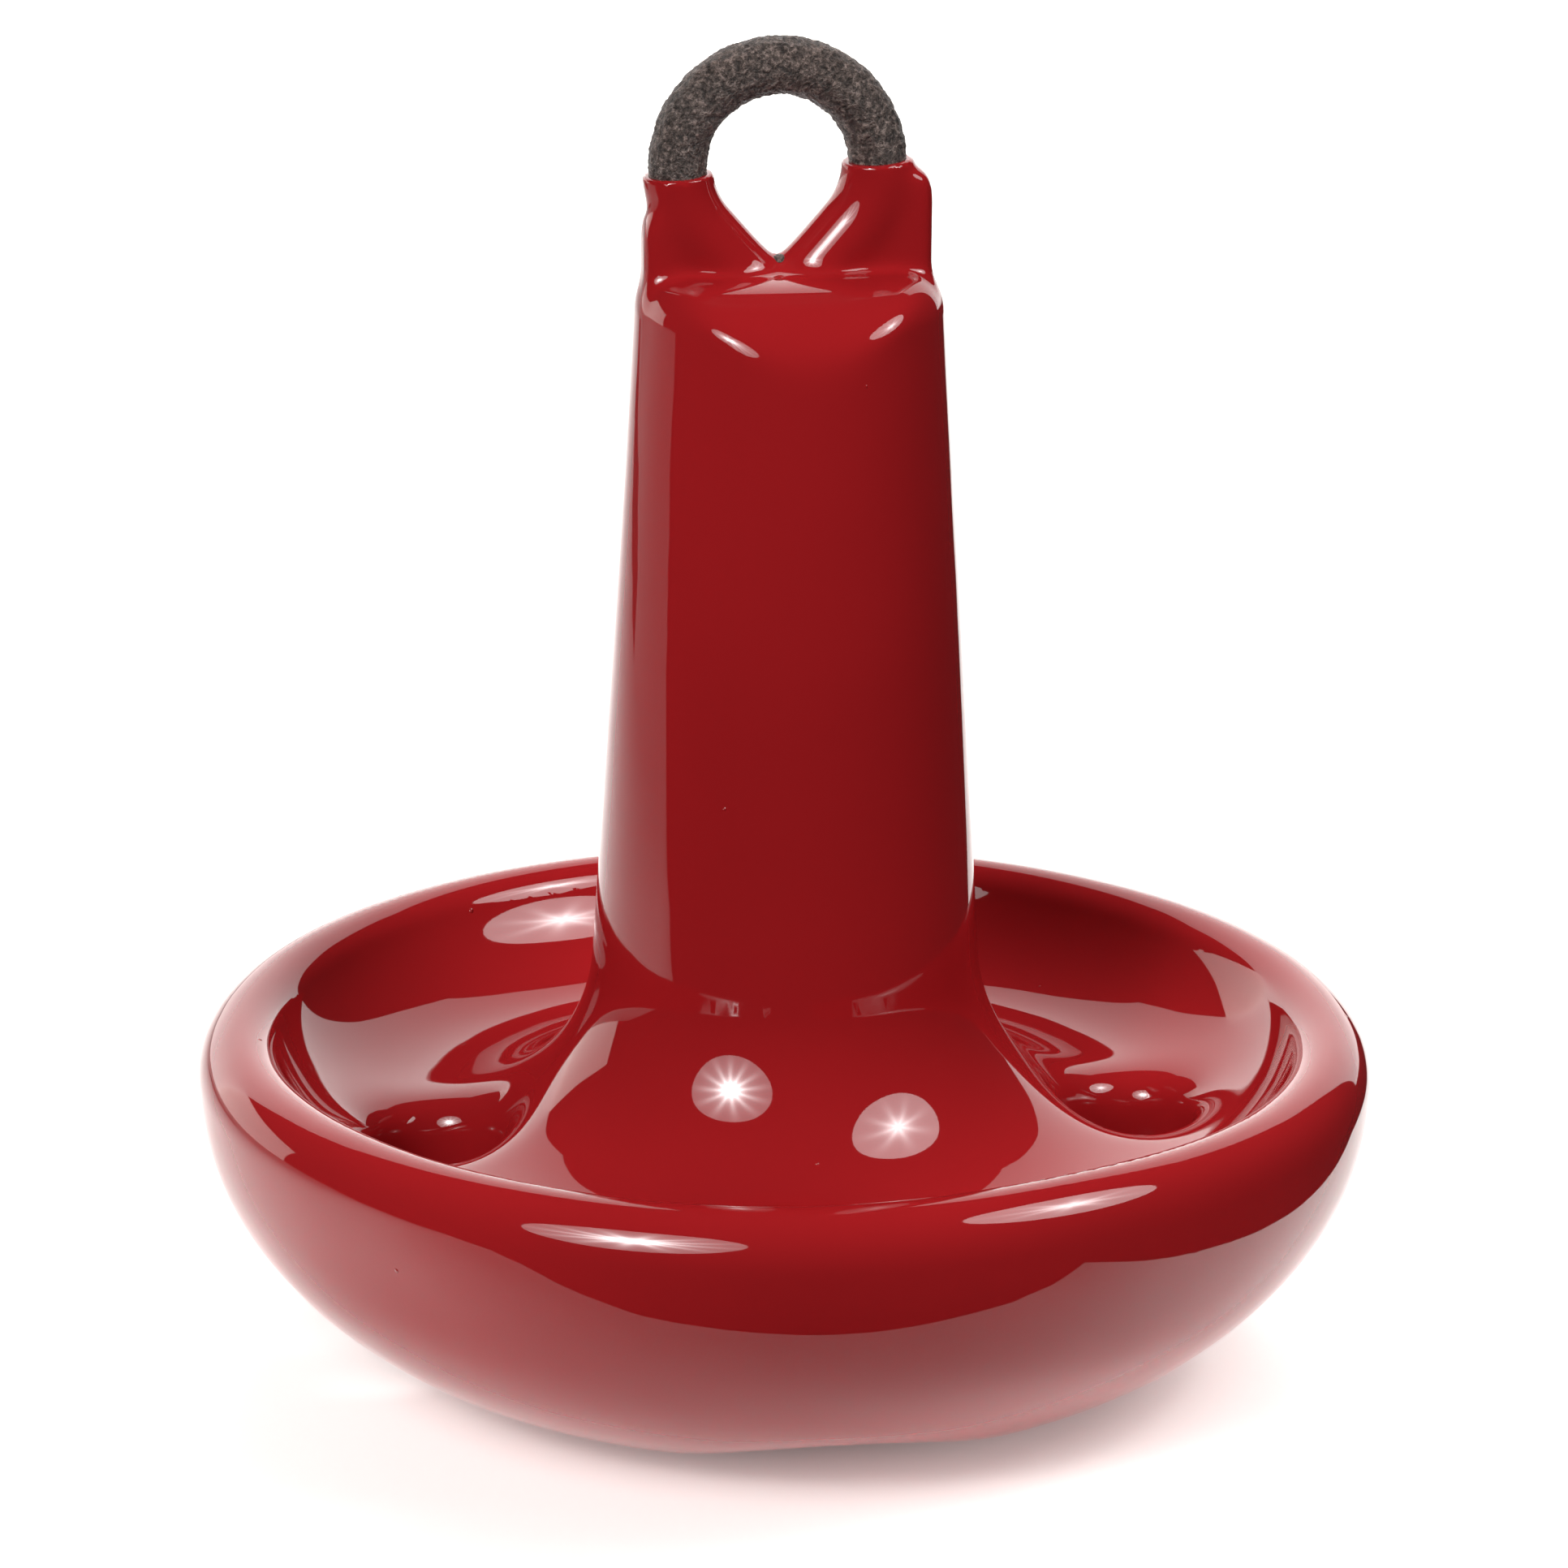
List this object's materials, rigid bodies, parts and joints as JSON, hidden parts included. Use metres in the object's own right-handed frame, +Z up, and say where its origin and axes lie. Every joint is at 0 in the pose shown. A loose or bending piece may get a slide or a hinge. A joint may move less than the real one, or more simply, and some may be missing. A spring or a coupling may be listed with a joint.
{
  "type": "mushroom anchor",
  "caption": "Vinyl-dipped cast-iron mushroom anchor for small boats: a dished cap with drain holes, a tapered round stem and an integral eye for the rope.",
  "frame": {"origin": "centre of the flat foot under the cap, on the surface that the anchor stands on", "axes": "+Z up along the stem towards the eye; X in the plane of the eye; Y through the eye"},
  "size_m": [0.178, 0.178, 0.2042],
  "materials": {
    "bare_iron": "as sand cast, matte and grainy",
    "red_vinyl": "high gloss dipped vinyl"
  },
  "bodies": {
    "root": {"anchor_casting": "bare_iron", "vinyl_coat": "red_vinyl"}
  },
  "joints": []
}
